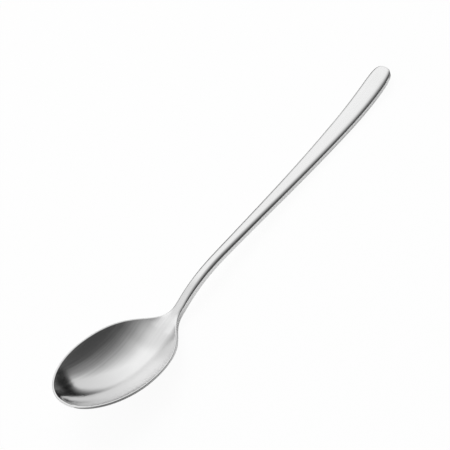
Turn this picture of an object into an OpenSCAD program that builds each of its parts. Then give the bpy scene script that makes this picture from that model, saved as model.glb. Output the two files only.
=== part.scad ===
// Dessert spoon forged from one blank of stainless steel, drawn as four sections of that blank.
// X runs from the tip of the bowl to the end of the handle, Y is across and Z is up.
// The spoon lies on Z = 0 and touches it under the bowl and under the handle.

/* [Length] */
// Length from the tip of the bowl to the end of the handle
overall_l = 187; // [170:1:210]
// Length from the tip of the bowl to the narrowest place of the neck
bowl_l = 59; // [54:0.5:64]
// Distance from the tip to the widest place of the bowl
bowl_wide_x = 25; // [22:0.5:28]
// Length over which the end of the handle rounds off
end_round_l = 9.2; // [6:0.1:14]

/* [Bowl] */
// Width of the bowl
bowl_w = 34.5; // [31:0.5:40]
// Depth of the dish below the rim
bowl_depth = 9.2; // [7:0.1:10.5]
// Height of the edge around the rim
rim_t = 1.1; // [1:0.05:1.5]
// Thickness in the middle of the dish
bowl_t = 1.5; // [1.2:0.05:2]
// Rounding of the rim's edges
rim_r = 0.45; // [0.3:0.01:0.5]

/* [Neck and handle] */
// Width of the neck at its narrowest place
neck_w = 3.8; // [3.4:0.1:6]
// Height of the neck's side walls
neck_t = 2.7; // [2:0.1:3.2]
// Width of the handle near its end
handle_w = 8.4; // [7:0.1:14]
// Height of the handle's side walls
handle_t = 2.2; // [1.6:0.1:2.8]
// Rise of the crowned top above the neck's side walls
neck_crown_h = 0.46; // [0.3:0.02:0.6]
// Rise of the crowned top above the handle's side walls
crown_h = 0.65; // [0.4:0.05:0.9]
// Slope of the crowned top at its edges, per millimetre
crown_slope = 0.85; // [0.6:0.05:1.1]
// Drop of the rounded underside below the side walls
belly_h = 0.3; // [0.1:0.05:0.6]
// Rounding of the neck's and the handle's edges
edge_r = 0.35; // [0.2:0.05:0.45]

/* [Side view] */
// Fall of the rim from the tip towards the neck, per millimetre
rim_fall = 0.27; // [0.2:0.01:0.32]
// Upward turn where the bowl meets the neck, per millimetre
neck_turn = 1; // [0.85:0.01:1.1]
// Length of the bend where the bowl meets the neck
neck_bend_l = 15.2; // [12:0.2:20]
// Distance of that bend before the narrowest place of the neck
neck_bend_x = 4.4; // [2:0.2:7]
// Length of the crest where the neck turns down into the handle
crest_l = 53; // [44:1:60]
// Distance of the crest behind the narrowest place of the neck
crest_x = 2.4; // [0:0.2:6]
// Fall of the handle towards the table, per millimetre
handle_fall = 0.085; // [0.06:0.005:0.11]
// Length over which the handle levels out on the table
sole_l = 66; // [40:1:80]
// Distance of that stretch from the end of the handle
sole_x = 44; // [34:1:56]
// Upward turn of the handle's end, per millimetre
end_turn = 0.235; // [0.1:0.005:0.3]
// Length of the bend that turns the end up
end_bend_l = 41; // [30:1:50]
// Distance of that bend from the end of the handle
end_bend_x = 13; // [8:0.5:20]

/* [Hidden] */
steel = "gainsboro";

// Rings along each stretch and points around each ring
tip_rings = 16;
shoulder_rings = 20;
neck_rings = 12;
shaft_rings = 14;
end_rings = 6;
cap_rings = 10;
across_steps = 10;
edge_steps = 3;

// Half widths, and the lengths of the outline's curves
bowl_half = bowl_w / 2;
neck_half = neck_w / 2;
handle_half = handle_w / 2;
handle_wide_x = overall_l - end_round_l;
shoulder_l = bowl_l - bowl_wide_x;
handle_l = handle_wide_x - bowl_l;

// How far each curve of the outline holds its direction, as shares of its own length or width
tip_hold = 0.61;
side_hold = 0.49;
shoulder_hold = 0.7;
flare_hold = 0.31;
neck_hold = 0.46;
handle_hold = 0.14;
end_hold = 0.9;
end_blunt = 0.7;

// Where the neck ends and where the handle's end begins, as shares of the handle's curve
neck_share = 0.2;
shaft_share = 0.8;

// Plan outline of one side: four curves, each with four control points [x, half width]
tip_curve = [
    [0, 0], [0, bowl_half * tip_hold],
    [bowl_wide_x * (1 - side_hold), bowl_half], [bowl_wide_x, bowl_half]
];
shoulder_curve = [
    [bowl_wide_x, bowl_half], [bowl_wide_x + shoulder_l * shoulder_hold, bowl_half],
    [bowl_l - shoulder_l * flare_hold, neck_half], [bowl_l, neck_half]
];
handle_curve = [
    [bowl_l, neck_half], [bowl_l + handle_l * neck_hold, neck_half],
    [handle_wide_x - handle_l * handle_hold, handle_half], [handle_wide_x, handle_half]
];
cap_curve = [
    [handle_wide_x, handle_half], [handle_wide_x + end_round_l * end_hold, handle_half],
    [overall_l, handle_half * end_blunt], [overall_l, 0]
];

// Bends of the side view: place, change of slope and half length
bends = [
    [bowl_l - neck_bend_x, neck_turn, neck_bend_l / 2],
    [bowl_l + crest_x, rim_fall - neck_turn - handle_fall, crest_l / 2],
    [overall_l - sole_x, handle_fall, sole_l / 2],
    [overall_l - end_bend_x, end_turn, end_bend_l / 2]
];

// Stretches where the wall thickens, thins and gains its crown, as shares of the bowl's length
thicken_from = 0.58;
thicken_over = 0.34;
thin_over = 0.5;
crown_from = 0.82;
crown_over = 0.25;

// How full the dish is along its length and across
tip_fullness = 1.65;
shoulder_fullness = 1.5;
dish_power = 1.95;

// A point on a curve with four control points, and its direction there
function on_curve(c, t) =
    pow(1 - t, 3) * c[0] + 3 * t * pow(1 - t, 2) * c[1] + 3 * t * t * (1 - t) * c[2] + pow(t, 3) * c[3];
function along_curve(c, t) =
    pow(1 - t, 2) * (c[1] - c[0]) + 2 * t * (1 - t) * (c[2] - c[1]) + t * t * (c[3] - c[2]);

// A smooth step from 0 to 1
function limit(t) = max(0, min(1, t));
function ease(t) = pow(limit(t), 2) * (3 - 2 * limit(t));

// A level line that turns up to a slope of one over a smooth bend
function turned(d, r) =
    let (t = limit((d + r) / (2 * r)))
    d > r ? d : 2 * r * (pow(t, 3) - pow(t, 4) / 2);

// Height of the upper edge before the spoon is set down on the table
function raw_edge(x, i = 0) =
    i == len(bends) ? -rim_fall * x
    : bends[i][1] * turned(x - bends[i][0], bends[i][2]) + raw_edge(x, i + 1);

// Height of the side wall: thin around the rim, thickest at the neck
function wall_at(x) =
    rim_t
    + (neck_t - rim_t) * ease((x / bowl_l - thicken_from) / thicken_over)
    + (handle_t - neck_t) * ease((x / bowl_l - 1) / thin_over);

// Radius of the edges: that of the rim, then that of the handle
function edge_at(x) = rim_r + (edge_r - rim_r) * ease((x / bowl_l - thicken_from) / thicken_over);

// Share of the full dish at a place in the bowl
function dish_share(x, half) =
    let (
        width = limit((half - neck_half) / (bowl_half - neck_half)),
        fullness = x < bowl_wide_x ? tip_fullness : shoulder_fullness
    )
    x > bowl_l ? 0 : pow(width, fullness);

// Share of the full crown along the spoon, and how that crown fades at the very end of the handle
function crowned(x) = ease((x / bowl_l - crown_from) / crown_over);
function crown_fade(x, half) = x < handle_wide_x ? 1 : pow(half / handle_half, 2);

// Rise of the full crown, and the power of its curve that gives the slope at its edges
function crown_at(x) = neck_crown_h + (crown_h - neck_crown_h) * ease((x / bowl_l - 1) / thin_over);
function crown_power(x, half) = crown_slope * (x < handle_wide_x ? half : handle_half) / crown_at(x);

// One station: x, half width, outward direction, edge height, wall, top sag, bottom sag,
// power across and edge radius
function station(c, t, square) =
    let (
        p = on_curve(c, t),
        x = p[0],
        half = p[1],
        dir = along_curve(c, t),
        out = square ? [0, 1] : [-dir[1], dir[0]] / norm(dir),
        dish = dish_share(x, half),
        crown = crowned(x) * crown_fade(x, half)
    )
    [
        x, half, out, raw_edge(x), wall_at(x),
        bowl_depth * dish - crown_at(x) * crown,
        (bowl_depth + bowl_t - rim_t) * dish + belly_h * crown,
        dish_power + (crown_power(x, half) - dish_power) * crowned(x),
        edge_at(x)
    ];

function stations(c, first, last, count, square = false) =
    [for (i = [0 : count]) station(c, first + (last - first) * i / count, square)];

// Stations of each section; neighbours share the station where they meet
nearly_end = 0.999;
bowl_stations = concat(
    stations(tip_curve, 1 - nearly_end, 1, tip_rings),
    [for (i = [1 : shoulder_rings]) station(shoulder_curve, i / shoulder_rings, false)]
);
neck_stations = stations(handle_curve, 0, neck_share, neck_rings, true);
shaft_stations = stations(handle_curve, neck_share, shaft_share, shaft_rings, true);
end_stations = concat(
    stations(handle_curve, shaft_share, 1, end_rings, true),
    [for (i = [1 : cap_rings]) station(cap_curve, nearly_end * i / cap_rings, false)]
);

// The spoon is set down on the lowest places under its bowl and under its handle
function underside(s) = s[3] - s[4] - s[6];
function lowest(list) =
    let (low = min([for (s = list) underside(s)]))
    [for (s = list) if (underside(s) == low) [s[0], low]][0];
bowl_low = lowest(bowl_stations);
handle_low = lowest(concat(shaft_stations, end_stations));
rest_slope = (handle_low[1] - bowl_low[1]) / (handle_low[0] - bowl_low[0]);
function table_at(x) = bowl_low[1] + rest_slope * (x - bowl_low[0]);

// Half a ring from the middle of the top, over the rounded edge, to the middle of the underside
function across_share(j) = sin(90 * j / across_steps);
function steepness(s, sag) = atan(s[7] * sag / (s[1] * s[2][1]));
function edge_point(s, angle, level, up) =
    let (inset = s[8] * (1 - cos(angle)))
    [s[0] - inset * s[2][0], s[1] - inset * s[2][1], level - up * s[8] * (1 - sin(angle))];
function face_point(s, share, sag, lip, level, up) =
    let (
        inset = s[8] * (1 + sin(up * lip)),
        drop = up * s[8] * (1 - cos(lip)),
        z = level - drop - (sag - drop) * (1 - pow(share, s[7]))
    )
    [s[0] - inset * s[2][0], share * (s[1] - inset * s[2][1]), z];
function half_ring(s) =
    let (
        top = s[3] - table_at(s[0]),
        under = top - s[4],
        top_lip = steepness(s, s[5]),
        under_lip = steepness(s, s[6])
    )
    concat(
        [for (j = [0 : across_steps]) face_point(s, across_share(j), s[5], top_lip, top, 1)],
        [for (j = [1 : edge_steps]) edge_point(s, (90 + top_lip) * (1 - j / edge_steps), top, 1)],
        [for (j = [0 : edge_steps - 1]) edge_point(s, (90 - under_lip) * j / edge_steps, under, -1)],
        [for (j = [across_steps : -1 : 0]) face_point(s, across_share(j), s[6], under_lip, under, -1)]
    );

// A whole ring, with the origin moved to the middle of the length
half_count = 2 * (across_steps + 1 + edge_steps);
ring_count = 2 * half_count - 2;
function ring(s) =
    let (half = half_ring(s))
    [for (k = [0 : ring_count - 1])
        let (p = half[k < half_count ? k : ring_count - k])
        [p[0] - overall_l / 2, k < half_count ? p[1] : -p[1], p[2]]];

// A tip has no width, so both sides of its ring share their points along the edge
function tip_index(k) =
    max(across_steps, min(half_count - 1 - across_steps, k < half_count ? k : ring_count - k));

// A skin over a row of stations, whose ends are either tips or flat cuts
module section(list, tip_first = false, tip_last = false) {
    rows = len(list);
    function is_tip(i) = (i == 0 && tip_first) || (i == rows - 1 && tip_last);
    function index(i, k) = i * ring_count + (is_tip(i) ? tip_index(k % ring_count) : k % ring_count);
    points = [for (i = [0 : rows - 1]) for (p = ring(list[i])) is_tip(i) ? [p[0], 0, p[2]] : p];
    skin = [
        for (i = [0 : rows - 2])
        for (k = [0 : ring_count - 1])
        for (face = [
            [index(i, k), index(i + 1, k + 1), index(i + 1, k)],
            [index(i, k), index(i, k + 1), index(i + 1, k + 1)]
        ])
        if (face[0] != face[1] && face[1] != face[2] && face[2] != face[0]) face
    ];
    first_cut = tip_first ? [] : [[for (k = [ring_count - 1 : -1 : 0]) index(0, k)]];
    last_cut = tip_last ? [] : [[for (k = [0 : ring_count - 1]) index(rows - 1, k)]];
    polyhedron(points, concat(skin, first_cut, last_cut), convexity = 6);
}

module bowl() {
    color(steel) section(bowl_stations, tip_first = true);
}

module neck() {
    color(steel) section(neck_stations);
}

module handle_shaft() {
    color(steel) section(shaft_stations);
}

module handle_end() {
    color(steel) section(end_stations, tip_last = true);
}

bowl();
neck();
handle_shaft();
handle_end();
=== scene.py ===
import math

import bpy
import numpy as np
from mathutils import Matrix, Vector


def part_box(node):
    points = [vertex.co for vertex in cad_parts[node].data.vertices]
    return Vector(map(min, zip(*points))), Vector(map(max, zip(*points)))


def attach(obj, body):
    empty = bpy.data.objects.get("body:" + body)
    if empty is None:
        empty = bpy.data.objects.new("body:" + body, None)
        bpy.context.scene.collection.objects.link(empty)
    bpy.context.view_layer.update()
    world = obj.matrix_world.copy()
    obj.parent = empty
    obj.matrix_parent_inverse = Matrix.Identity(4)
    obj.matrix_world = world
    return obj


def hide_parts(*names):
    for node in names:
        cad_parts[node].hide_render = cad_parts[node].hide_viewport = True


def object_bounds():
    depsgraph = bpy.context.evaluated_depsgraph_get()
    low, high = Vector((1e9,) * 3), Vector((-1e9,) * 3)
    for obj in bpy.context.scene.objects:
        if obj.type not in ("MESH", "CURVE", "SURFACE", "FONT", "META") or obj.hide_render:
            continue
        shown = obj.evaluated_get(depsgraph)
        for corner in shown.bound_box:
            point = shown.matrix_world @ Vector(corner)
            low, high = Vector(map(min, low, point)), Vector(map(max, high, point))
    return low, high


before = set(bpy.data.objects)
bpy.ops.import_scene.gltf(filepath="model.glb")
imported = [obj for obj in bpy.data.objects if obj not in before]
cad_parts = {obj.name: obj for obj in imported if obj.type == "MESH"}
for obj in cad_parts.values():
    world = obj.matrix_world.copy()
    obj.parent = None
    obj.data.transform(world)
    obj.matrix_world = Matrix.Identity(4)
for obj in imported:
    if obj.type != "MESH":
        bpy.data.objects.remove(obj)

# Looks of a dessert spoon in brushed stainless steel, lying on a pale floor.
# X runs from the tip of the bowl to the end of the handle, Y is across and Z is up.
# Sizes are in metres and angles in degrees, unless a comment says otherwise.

# Sizes that the solids give
cad_low, cad_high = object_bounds()
bowl_low, bowl_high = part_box("bowl")
end_low, end_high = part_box("handle_end")
overall_l = cad_high.x - cad_low.x
bowl_l = bowl_high.x - bowl_low.x
bowl_half = (bowl_high.y - bowl_low.y) / 2
handle_half = (end_high.y - end_low.y) / 2

# Sizes that their boxes don't give: lengths along the spoon
bowl_wide_x = 0.025
end_round_l = 0.0092

# Depth of the dish, walls, crown and edges
bowl_depth = 0.0092
bowl_t = 0.0015
rim_t = 0.0011
neck_half = 0.0019
neck_t = 0.0027
handle_t = 0.0022
neck_crown_h = 0.00046
crown_h = 0.00065
belly_h = 0.0003
rim_r = 0.00045
edge_r = 0.00035

# Slope of the crowned top at its edges
crown_slope = 0.85

# Side view: slopes, and the place and length of each bend
rim_fall = 0.27
neck_turn = 1.0
handle_fall = 0.085
end_turn = 0.235
neck_bend_x = 0.0044
neck_bend_l = 0.0152
crest_x = 0.0024
crest_l = 0.053
sole_x = 0.044
sole_l = 0.066
end_bend_x = 0.013
end_bend_l = 0.041

# How far each curve of the outline holds its direction, as shares of its own length or width
tip_hold = 0.61
side_hold = 0.49
shoulder_hold = 0.7
flare_hold = 0.31
neck_hold = 0.46
handle_hold = 0.14
end_hold = 0.9
end_blunt = 0.7

# Where the neck ends and where the handle's end begins, as shares of the handle's curve
neck_share = 0.2
shaft_share = 0.8

# Where the wall thickens, thins and gains its crown, as shares of the bowl's length
thicken_from = 0.58
thicken_over = 0.34
thin_over = 0.5
crown_from = 0.82
crown_over = 0.25

# How full the dish is along its length and across
tip_fullness = 1.65
shoulder_fullness = 1.5
dish_power = 1.95

# Fineness of the skin: rings along each stretch, and points over a face and round an edge
tip_rings = 60
shoulder_rings = 72
neck_rings = 44
shaft_rings = 60
end_rings = 20
cap_rings = 36
across_steps = 28
edge_steps = 6

# How far the curves of the two tips are followed, just short of no width
nearly_end = 0.9995

handle_wide_x = overall_l - end_round_l
shoulder_l = bowl_l - bowl_wide_x
handle_l = handle_wide_x - bowl_l

# Plan outline of one side: four curves, each with four control points (x, half width)
tip_curve = [
    (0, 0), (0, bowl_half * tip_hold),
    (bowl_wide_x * (1 - side_hold), bowl_half), (bowl_wide_x, bowl_half),
]
shoulder_curve = [
    (bowl_wide_x, bowl_half), (bowl_wide_x + shoulder_l * shoulder_hold, bowl_half),
    (bowl_l - shoulder_l * flare_hold, neck_half), (bowl_l, neck_half),
]
handle_curve = [
    (bowl_l, neck_half), (bowl_l + handle_l * neck_hold, neck_half),
    (handle_wide_x - handle_l * handle_hold, handle_half), (handle_wide_x, handle_half),
]
cap_curve = [
    (handle_wide_x, handle_half), (handle_wide_x + end_round_l * end_hold, handle_half),
    (overall_l, handle_half * end_blunt), (overall_l, 0),
]

# Bends of the side view: place, change of slope and half length
bends = [
    (bowl_l - neck_bend_x, neck_turn, neck_bend_l / 2),
    (bowl_l + crest_x, rim_fall - neck_turn - handle_fall, crest_l / 2),
    (overall_l - sole_x, handle_fall, sole_l / 2),
    (overall_l - end_bend_x, end_turn, end_bend_l / 2),
]


def ease(t):
    """A smooth step from 0 to 1."""
    t = np.clip(t, 0, 1)
    return t * t * (3 - 2 * t)


def on_curve(curve, t):
    """Points of a curve with four control points."""
    a, b, c, d = (np.array(point, float) for point in curve)
    t = t[:, None]
    return (1 - t) ** 3 * a + 3 * t * (1 - t) ** 2 * b + 3 * t * t * (1 - t) * c + t ** 3 * d


def along_curve(curve, t):
    """Directions of that curve, with unit length."""
    a, b, c, d = (np.array(point, float) for point in curve)
    t = t[:, None]
    way = (1 - t) ** 2 * (b - a) + 2 * t * (1 - t) * (c - b) + t * t * (d - c)
    return way / np.linalg.norm(way, axis=1, keepdims=True)


def turned(d, r):
    """A level line that turns up to a slope of one over a smooth bend."""
    t = np.clip((d + r) / (2 * r), 0, 1)
    return np.where(d > r, d, 2 * r * (t ** 3 - t ** 4 / 2))


def raw_edge(x):
    """Height of the upper edge before the spoon is set down on the floor."""
    return -rim_fall * x + sum(turn * turned(x - place, half) for place, turn, half in bends)


def wall_at(x):
    """Height of the side wall: thin around the rim, thickest at the neck."""
    thicker = (neck_t - rim_t) * ease((x / bowl_l - thicken_from) / thicken_over)
    thinner = (handle_t - neck_t) * ease((x / bowl_l - 1) / thin_over)
    return rim_t + thicker + thinner


def edge_at(x):
    """Radius of the edges: large round the rim, small along the handle."""
    return rim_r + (edge_r - rim_r) * ease((x / bowl_l - thicken_from) / thicken_over)


def crown_at(x):
    """Rise of the full crown: lower on the neck than on the handle."""
    return neck_crown_h + (crown_h - neck_crown_h) * ease((x / bowl_l - 1) / thin_over)


class Stations:
    """The spoon's cross-sections, from the tip of the bowl to the end of the handle."""

    def __init__(self):
        stretches = [
            (tip_curve, np.linspace(1 - nearly_end, 1, tip_rings + 1), False),
            (shoulder_curve, np.linspace(0, 1, shoulder_rings + 1)[1:], False),
            (handle_curve, np.linspace(0, neck_share, neck_rings + 1)[1:], True),
            (handle_curve, np.linspace(neck_share, shaft_share, shaft_rings + 1)[1:], True),
            (handle_curve, np.linspace(shaft_share, 1, end_rings + 1)[1:], True),
            (cap_curve, np.linspace(0, nearly_end, cap_rings + 1)[1:], False),
        ]
        spots = np.vstack([on_curve(curve, t) for curve, t, _ in stretches])
        ways = np.vstack([along_curve(curve, t) for curve, t, _ in stretches])
        square = np.concatenate([np.full(len(t), flag) for _, t, flag in stretches])
        self.x, self.half = spots.T
        self.out_x = np.where(square, 0, -ways[:, 1])
        self.out_y = np.where(square, 1, ways[:, 0])
        self.wall = wall_at(self.x)
        self.edge_r = edge_at(self.x)
        crowned = ease((self.x / bowl_l - crown_from) / crown_over)
        crown = crowned * np.where(self.x < handle_wide_x, 1, (self.half / handle_half) ** 2)
        crown_rise = crown_at(self.x)
        crown_power = crown_slope * np.where(self.x < handle_wide_x, self.half, handle_half) / crown_rise
        dish = self.dish_share()
        self.top_sag = bowl_depth * dish - crown_rise * crown
        self.under_sag = (bowl_depth + bowl_t - rim_t) * dish + belly_h * crown
        self.power = dish_power + (crown_power - dish_power) * crowned
        self.top = self.set_down(raw_edge(self.x))

    def dish_share(self):
        """Share of the full dish at each place, none behind the neck."""
        width = np.clip((self.half - neck_half) / (bowl_half - neck_half), 0, 1)
        fullness = np.where(self.x < bowl_wide_x, tip_fullness, shoulder_fullness)
        return np.where(self.x > bowl_l, 0, width ** fullness)

    def set_down(self, edge):
        """Heights above the floor, which touches the lowest places under the bowl and the handle."""
        under = edge - self.wall - self.under_sag
        in_bowl = self.x <= bowl_l
        bowl_i = np.argmin(np.where(in_bowl, under, np.inf))
        handle_i = np.argmin(np.where(self.x > bowl_l + crest_l / 2, under, np.inf))
        slope = (under[handle_i] - under[bowl_i]) / (self.x[handle_i] - self.x[bowl_i])
        return edge - under[bowl_i] - slope * (self.x - self.x[bowl_i])


def face_points(s, sag, level, up):
    """Points of the top (up is 1) or the underside (up is -1), from the middle to the edge."""
    share = np.sin(np.linspace(0, math.pi / 2, across_steps + 1))
    lip = np.arctan(s.power * sag / (s.half * s.out_y))
    inset = s.edge_r * (1 + np.sin(up * lip))
    drop = up * s.edge_r * (1 - np.cos(lip))
    x = np.repeat((s.x - inset * s.out_x)[:, None], len(share), axis=1)
    y = share * (s.half - inset * s.out_y)[:, None]
    z = (level - drop)[:, None] - (sag - drop)[:, None] * (1 - share ** s.power[:, None])
    return np.stack([x, y, z], axis=2)


def edge_points(s, sag, level, up):
    """Points round the top or bottom of the edge, from the side wall to the face."""
    lip = np.arctan(s.power * sag / (s.half * s.out_y))
    angle = (math.pi / 2 + up * lip)[:, None] * np.linspace(0, 1, edge_steps + 1)[:-1]
    radius = s.edge_r[:, None]
    inset = radius * (1 - np.cos(angle))
    x = s.x[:, None] - inset * s.out_x[:, None]
    y = s.half[:, None] - inset * s.out_y[:, None]
    z = level[:, None] - up * radius * (1 - np.sin(angle))
    return np.stack([x, y, z], axis=2)


def spoon_rings(s):
    """The whole skin as rows of rings, with the middle of the length at the origin."""
    under = s.top - s.wall
    half = np.concatenate([
        face_points(s, s.top_sag, s.top, 1),
        edge_points(s, s.top_sag, s.top, 1)[:, ::-1],
        edge_points(s, s.under_sag, under, -1),
        face_points(s, s.under_sag, under, -1)[:, ::-1],
    ], axis=1)
    half[..., 0] -= overall_l / 2
    other = half[:, -2:0:-1] * (1, -1, 1)
    rings = np.concatenate([half, other], axis=1)
    rings[[0, -1], :, 1] = 0
    return rings


# Points of half a ring, from the middle of the top to the middle of the underside, and of a whole one
half_count = 2 * (across_steps + 1 + edge_steps)
ring_count = 2 * half_count - 2


def ring_index(rows):
    """Index of each point of the skin; a tip has no width, so its two sides share their points."""
    index = np.arange(rows * ring_count).reshape(rows, ring_count)
    around = np.arange(ring_count)
    side = np.where(around < half_count, around, ring_count - around)
    shared = np.clip(side, across_steps, half_count - 1 - across_steps)
    index[0] = index[0, shared]
    index[-1] = index[-1, shared]
    return index


def skin_faces(index):
    """Faces of the skin between neighbouring rings, without the flat ones at the tips."""
    following = np.roll(index, -1, axis=1)
    quads = np.stack([index[:-1], index[1:], following[1:], following[:-1]], axis=2).reshape(-1, 4)
    faces = []
    for quad in quads.tolist():
        corners = list(dict.fromkeys(quad))
        if len(corners) > 2:
            faces.append(corners)
    return faces


def skin_normals(points, faces):
    """Smooth normals over the whole spoon, so that its sections show no seam."""
    normals = np.zeros_like(points)
    for face in faces:
        a, b, c, d = points[face[0]], points[face[1]], points[face[2]], points[face[-1]]
        normals[face] += np.cross(c - a, d - b) if len(face) == 4 else np.cross(b - a, c - a)
    length = np.linalg.norm(normals, axis=1, keepdims=True)
    return normals / np.where(length > 0, length, 1)


def grain_lengths(rings):
    """Lengths over the surface: from the middle of the top to each point, and along the outline."""
    steps = np.linalg.norm(np.diff(rings[:, :half_count], axis=1), axis=2)
    over = np.concatenate([np.zeros((len(rings), 1)), np.cumsum(steps, axis=1)], axis=1)
    over[0], over[-1] = over[1], over[-2]
    around = np.arange(ring_count)
    over = over[:, np.where(around < half_count, around, ring_count - around)]
    widest = rings[:, across_steps + edge_steps]
    along = np.concatenate([[0], np.cumsum(np.linalg.norm(np.diff(widest, axis=0), axis=1))])
    return over, np.repeat(along[:, None], ring_count, axis=1)


def section(name, skin, first, last, material):
    """One section of the spoon as a closed mesh, cut flat where its neighbour begins."""
    part = skin.index[first:last + 1]
    faces = skin_faces(part)
    smooth_count = len(faces)
    if first > 0:
        faces.append(part[0].tolist())
    if last < len(skin.index) - 1:
        faces.append(part[-1, ::-1].tolist())
    used = np.unique(np.concatenate([np.array(face) for face in faces]))
    place = dict(zip(used.tolist(), range(len(used))))
    mesh = bpy.data.meshes.new(name)
    mesh.from_pydata(skin.points[used].tolist(), [], [[place[i] for i in face] for face in faces])
    mesh.update()
    grain = mesh.uv_layers.new(name=grain_map)
    normals = np.zeros((len(mesh.loops), 3))
    for polygon, face in zip(mesh.polygons, faces):
        polygon.use_smooth = polygon.index < smooth_count
        side = 1 if polygon.center.y > 0 else -1
        for loop, corner in zip(polygon.loop_indices, face):
            normals[loop] = skin.normals[corner] if polygon.use_smooth else polygon.normal
            grain.data[loop].uv = (side * skin.over[corner], skin.along[corner])
    mesh.normals_split_custom_set(normals.tolist())
    mesh.materials.append(material)
    piece = bpy.data.objects.new(name, mesh)
    bpy.context.scene.collection.objects.link(piece)
    return piece


class Skin:
    """The whole surface of the spoon: its points, smooth normals and the lengths for its grain."""

    def __init__(self):
        rings = spoon_rings(Stations())
        self.points = rings.reshape(-1, 3)
        self.index = ring_index(len(rings))
        self.normals = skin_normals(self.points, skin_faces(self.index))
        over, along = grain_lengths(rings)
        self.over = over.ravel()
        self.along = along.ravel()


def linked(tree, kind, *inputs, **settings):
    """A new node with its settings made and its inputs joined to sockets or set to values."""
    node = tree.nodes.new(kind)
    for name, value in settings.items():
        setattr(node, name, value)
    for socket, value in zip(node.inputs, inputs):
        if isinstance(value, bpy.types.NodeSocket):
            tree.links.new(value, socket)
        elif value is not None:
            socket.default_value = value
    return node


def calculated(tree, operation, *inputs):
    """The result of a sum on sockets or values."""
    return linked(tree, "ShaderNodeMath", *inputs, operation=operation).outputs[0]


def ramped(tree, value, start, end, low, high, shape="SMOOTHSTEP"):
    """A rise or fall from low at start to high at end."""
    node = linked(tree, "ShaderNodeMapRange", value, start, end, low, high, interpolation_type=shape)
    return node.outputs[0]


# Brushed steel: its greys, and how far its sheen spreads across and along the brushing
steel_dark = 0.885
steel_light = 0.935
steel_roughness_low = 0.09
steel_roughness_high = 0.15
steel_anisotropy = 0.8

# Fine lines and broad strokes of the brushing: width and length, depth, and octaves of the noise
grain_map = "grain"
line_size = (0.0007, 0.04)
line_depth = 0.000025
line_detail = 3
stroke_size = (0.005, 0.02)
stroke_depth = 0.00006
stroke_detail = 1
octave_share = 0.6

# The noise of the lines between which the steel goes from its lowest to its highest value
noise_low = 0.25
noise_high = 0.75


def brushing(tree, size, detail):
    """Noise over the surface, stretched along the length to a width and length."""
    place = linked(tree, "ShaderNodeUVMap", uv_map=grain_map).outputs["UV"]
    stretch = (1 / size[0], 1 / size[1], 1)
    scaled = linked(tree, "ShaderNodeVectorMath", place, stretch, operation="MULTIPLY").outputs["Vector"]
    return linked(tree, "ShaderNodeTexNoise", scaled, None, 1, detail, octave_share).outputs[0]


def steel_material():
    """Stainless steel, finely brushed along the length."""
    material = bpy.data.materials.new("brushed_steel")
    material.use_nodes = True
    tree = material.node_tree
    shader = tree.nodes["Principled BSDF"]
    shader.inputs["Metallic"].default_value = 1
    shader.inputs["Anisotropic"].default_value = steel_anisotropy
    across = linked(tree, "ShaderNodeTangent", direction_type="UV_MAP", uv_map=grain_map)
    tree.links.new(across.outputs["Tangent"], shader.inputs["Tangent"])
    lines = brushing(tree, line_size, line_detail)
    strokes = brushing(tree, stroke_size, stroke_detail)
    for socket, lowest, highest in (
        ("Base Color", steel_dark, steel_light),
        ("Roughness", steel_roughness_low, steel_roughness_high),
    ):
        value = ramped(tree, lines, noise_low, noise_high, lowest, highest, "LINEAR")
        tree.links.new(value, shader.inputs[socket])
    depth = calculated(tree, "MULTIPLY", strokes, stroke_depth)
    depth = calculated(tree, "MULTIPLY_ADD", lines, line_depth, depth)
    relief = linked(tree, "ShaderNodeBump", 1, 1)
    tree.links.new(depth, relief.inputs["Height"])
    tree.links.new(relief.outputs["Normal"], shader.inputs["Normal"])
    return material


def build_spoon():
    """The four sections of the spoon, each in place of its solid."""
    skin = Skin()
    steel = steel_material()
    cuts = np.cumsum([0, tip_rings + shoulder_rings, neck_rings, shaft_rings, end_rings + cap_rings])
    for node, first, last in zip(("bowl", "neck", "handle_shaft", "handle_end"), cuts[:-1], cuts[1:]):
        piece = section("spoon_" + node, skin, first, last, steel)
        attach(piece, "root")
        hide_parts(node)


# Camera: its angles, its distance from the place it aims at, its lens in millimetres and its clipping
camera_turn = 35.4
camera_height = 48.5
camera_roll = -20.9
camera_distance = 0.9
camera_lens = 197
camera_aim = Vector((0.0019, 0.006, 0.008))
camera_clip_start = 0.01
camera_clip_end = 20


def build_camera():
    """The camera at the photo's viewing angle."""
    turn, height, roll = (math.radians(a) for a in (camera_turn, camera_height, camera_roll))
    back = Vector((
        -math.sin(turn) * math.cos(height),
        -math.cos(turn) * math.cos(height),
        math.sin(height),
    ))
    level = Vector((0, 0, 1)).cross(back).normalized()
    rise = back.cross(level)
    right = math.cos(roll) * level + math.sin(roll) * rise
    upward = math.cos(roll) * rise - math.sin(roll) * level
    data = bpy.data.cameras.new("camera")
    data.lens = camera_lens
    data.clip_start = camera_clip_start
    data.clip_end = camera_clip_end
    camera = bpy.data.objects.new("camera", data)
    facing = Matrix((right, upward, back)).transposed().to_4x4()
    camera.matrix_world = Matrix.Translation(camera_aim + back * camera_distance) @ facing
    bpy.context.scene.collection.objects.link(camera)
    bpy.context.scene.camera = camera


# Floor: how much of its white is a glow, to the camera and in the steel
floor_half = 1.5
floor_colour = (0.95, 0.95, 0.95, 1)
floor_glow_seen = 0.95
floor_glow_mirrored = 0.05

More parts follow.
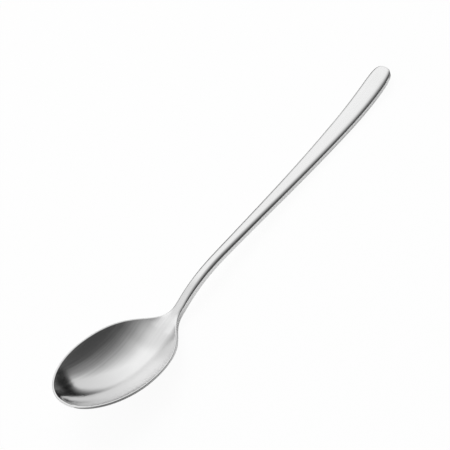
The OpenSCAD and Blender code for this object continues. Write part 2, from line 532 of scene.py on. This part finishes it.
# Flags: dark and grey sheets just above the floor, seen only in the steel. The end and near flags are
# dark studio flags;
# the sheets in front of the bowl and just past the handle's end are painted shadow of the spoon on the
# floor, and the handle's flag is partly painted shadow.
# Each has its name, its grey, the places along the spoon where its sheet begins and is full, if it thins
# out, and its corners.
flag_height = 0.001
flags = [
    ("end_flag", 0.02, None, [(-0.06, 0.0276), (1.5, 0.363), (1.5, 1.45), (-0.06, 0.03)]),
    ("near_flag", 0.15, None, [(-0.06, 0.015), (1.5, 0.015), (1.5, 0.363), (-0.06, 0.0276)]),
    # Painted shadow: a grey sheet seen only in the steel, standing in for the bowl's shadow on the floor
    # under and in front of it, fading out towards the neck.
    ("painted_bowl_shadow", 0.28, (-0.03, -0.075), [(-0.5, -0.5), (-0.02, -0.5), (-0.02, 0), (-0.5, 0)]),
    # A dark flag in front of the handle, seen only in the steel; its strip nearest the handle is painted
    # shadow of the handle on the floor.
    ("handle_flag_with_painted_shadow", 0.1, (-0.03, -0.02), [
        (-0.03, -0.5), (0.5, -0.5), (0.5, -0.006), (0.06, -0.006), (-0.03, -0.0095),
    ]),
    # Painted shadow: a grey sheet seen only in the steel, standing in for the spoon's shadow on the floor
    # just past the end of the handle.
    ("painted_handle_end_shadow", 0.36, (0.0912, 0.0945), [
        (0.0912, -0.006), (0.13, -0.006), (0.13, 0.015), (0.0912, 0.015),
    ]),
]


def add_plane(name, corners, height, material):
    """A level plane that isn't part of the object."""
    mesh = bpy.data.meshes.new(name)
    mesh.from_pydata([(x, y, height) for x, y in corners], [], [range(len(corners))])
    mesh.materials.append(material)
    plane = bpy.data.objects.new(name, mesh)
    bpy.context.scene.collection.objects.link(plane)
    return plane


def floor_material():
    """White paper that glows, and takes the rest of its light from the lamp and the studio."""
    material = bpy.data.materials.new("floor_paper")
    material.use_nodes = True
    tree = material.node_tree
    tree.nodes.clear()
    ray = tree.nodes.new("ShaderNodeLightPath").outputs
    mirrored = calculated(tree, "MAXIMUM", ray["Is Glossy Ray"], ray["Is Transmission Ray"])
    seen = calculated(tree, "MULTIPLY", ray["Is Camera Ray"], floor_glow_seen)
    share = calculated(tree, "MULTIPLY_ADD", mirrored, floor_glow_mirrored, seen)
    paper = linked(tree, "ShaderNodeBsdfDiffuse", floor_colour)
    glow = linked(tree, "ShaderNodeEmission", (1, 1, 1, 1), 1.0)
    mix = linked(tree, "ShaderNodeMixShader", share, paper.outputs[0], glow.outputs[0])
    linked(tree, "ShaderNodeOutputMaterial", mix.outputs[0])
    return material


def flag_material(name, grey, fade):
    """A dull grey sheet, full all over or thinning out to nothing along the spoon: a dark studio flag for
    some, painted shadow of the spoon on the floor for others.
    """
    material = bpy.data.materials.new(name)
    material.use_nodes = True
    tree = material.node_tree
    tree.nodes.clear()
    density = 1
    if fade:
        place = tree.nodes.new("ShaderNodeTexCoord").outputs["Object"]
        x = linked(tree, "ShaderNodeSeparateXYZ", place).outputs["X"]
        density = ramped(tree, x, *fade, 0, 1)
    see_through = linked(tree, "ShaderNodeBsdfTransparent", (1, 1, 1, 1))
    grey_sheet = linked(tree, "ShaderNodeBsdfDiffuse", (grey, grey, grey, 1))
    mix = linked(tree, "ShaderNodeMixShader", density, see_through.outputs[0], grey_sheet.outputs[0])
    linked(tree, "ShaderNodeOutputMaterial", mix.outputs[0])
    return material


def build_floor():
    """The floor, and the flags and painted shadows on it that only the steel shows."""
    square = [(-1, -1), (1, -1), (1, 1), (-1, 1)]
    add_plane("floor", [(x * floor_half, y * floor_half) for x, y in square], 0, floor_material())
    for name, grey, fade, corners in flags:
        flag = add_plane(name, corners, flag_height, flag_material(name + "_grey_sheet", grey, fade))
        flag.visible_camera = False
        flag.visible_shadow = False
        flag.visible_diffuse = False


# Studio: the light in each direction, where X, Y and Z are shares of the direction's length.
# The lean of a direction is its angle from straight up, towards the back.

# Dark in front and light above and behind, with a faint light low in front and a dimmer horizon behind
dark_lean = -53
dark_level = 0.055
light_lean = 34
light_level = 0.945
low_lean = -75
low_lean_end = -52
low_level = 0.19
back_lean = 60
horizon_level = 0.38

# The edge of the dark curves: it lies nearer to the front towards both ends of the spoon
dark_middle = 0.45
dark_bend = 30

# The light is weaker towards both ends of the spoon: where on X that begins and is full, and its level
tip_side_full = 0.03
tip_side_from = 0.25
tip_side_level = 0.82
handle_side_from = 0.5
handle_side_full = 0.95
handle_side_level = 0.69

# The dark beyond the handle: where on X and Y it begins and is full, and its level
end_from = 0.55
end_full = 0.8
end_front_from = -0.34
end_front_full = -0.2
end_level = 0.012

# Its upper edge: height as a share of X, with a rise towards the front and a fall towards the back
end_height = 0.212
end_rise = 0.06
end_rise_full = -0.3
end_fall = 0.085
end_fall_full = 0.27

# How soft that edge is in front and at the back, and where on Y it changes
end_soft_front = 0.012
end_soft_back = 0.2
end_soft_from = 0.15
end_soft_full = 0.4

# The lighter foot of the dark: its level, the heights where it is full and ends, and its fall to the back
foot_level = 0.13
foot_full = 0.0
foot_top = 0.1
foot_fall = 0.3


def end_dark(tree, x, y, z):
    """The share of the light that the dark beyond the handle takes, and the light of its foot."""
    beyond = ramped(tree, x, end_from, end_full, 0, 1)
    beside = ramped(tree, y, end_front_from, end_front_full, 0, 1)
    inside = calculated(tree, "MULTIPLY", beyond, beside)
    rise = ramped(tree, y, end_rise_full, 0, end_rise, 0, "LINEAR")
    fall = ramped(tree, y, 0, end_fall_full, 0, end_fall, "LINEAR")
    height = calculated(tree, "MULTIPLY_ADD", x, -end_height, z)
    height = calculated(tree, "SUBTRACT", height, rise)
    height = calculated(tree, "ADD", height, fall)
    soft = ramped(tree, y, end_soft_from, end_soft_full, end_soft_front, end_soft_back, "LINEAR")
    low = ramped(tree, calculated(tree, "DIVIDE", height, soft), -1, 1, 1 - end_level, 0)
    foot_height = calculated(tree, "MULTIPLY_ADD", y, foot_fall, z)
    foot = ramped(tree, foot_height, foot_full, foot_top, foot_level, 0)
    return calculated(tree, "MULTIPLY", low, inside), calculated(tree, "MULTIPLY", foot, inside)


def build_world():
    """The studio's light in the steel, and plain white to the camera."""
    world = bpy.data.worlds.new("studio")
    world.use_nodes = True
    tree = world.node_tree
    direction = tree.nodes.new("ShaderNodeTexCoord").outputs["Generated"]
    x, y, z = linked(tree, "ShaderNodeSeparateXYZ", direction).outputs
    lean = calculated(tree, "ARCTAN2", y, z)
    angles = (low_lean, low_lean_end, dark_lean, light_lean, back_lean)
    lowest, low_end, dark, light, top = (math.radians(angle) for angle in angles)
    low_light = ramped(tree, lean, lowest, low_end, low_level, 0)
    aside = calculated(tree, "SUBTRACT", x, dark_middle)
    curve = calculated(tree, "MULTIPLY", aside, aside)
    bent = calculated(tree, "MULTIPLY_ADD", curve, math.radians(dark_bend), lean)
    front = ramped(tree, bent, dark, light, dark_level, light_level)
    front = calculated(tree, "MAXIMUM", low_light, front)
    most = ramped(tree, x, handle_side_from, handle_side_full, light_level, handle_side_level, "LINEAR")
    back = ramped(tree, lean, top, math.pi / 2, 1, horizon_level, "LINEAR")
    tip_side = ramped(tree, x, tip_side_full, tip_side_from, tip_side_level, 1)
    shade, foot = end_dark(tree, x, y, z)
    level = calculated(tree, "MINIMUM", front, most)
    for share in (back, tip_side, calculated(tree, "SUBTRACT", 1, shade)):
        level = calculated(tree, "MULTIPLY", level, share)
    level = calculated(tree, "ADD", level, foot)
    seen = tree.nodes.new("ShaderNodeLightPath").outputs["Is Camera Ray"]
    strength = linked(tree, "ShaderNodeMix", seen, None, level, 1.0, data_type="FLOAT").outputs[0]
    background = tree.nodes["Background"]
    background.inputs["Color"].default_value = (1, 1, 1, 1)
    tree.links.new(strength, background.inputs["Strength"])
    bpy.context.scene.world = world


# Lamp: a soft disk above and behind, which only the floor and the flags take light from
lamp_place = Vector((0.2, 0.45, 0.95))
lamp_aim = Vector((0, 0, 0))
lamp_size = 0.8
lamp_power = 4


def build_lamp():
    """The lamp, kept out of the steel's reflections."""
    data = bpy.data.lights.new("lamp", "AREA")
    data.shape = "DISK"
    data.size = lamp_size
    data.energy = lamp_power
    lamp = bpy.data.objects.new("lamp", data)
    lamp.location = lamp_place
    lamp.rotation_euler = (lamp_aim - lamp_place).to_track_quat("-Z", "Y").to_euler()
    lamp.visible_glossy = False
    bpy.context.scene.collection.objects.link(lamp)


build_camera()
build_floor()
build_world()
build_lamp()
build_spoon()
bpy.context.scene.view_settings.view_transform = "Standard"
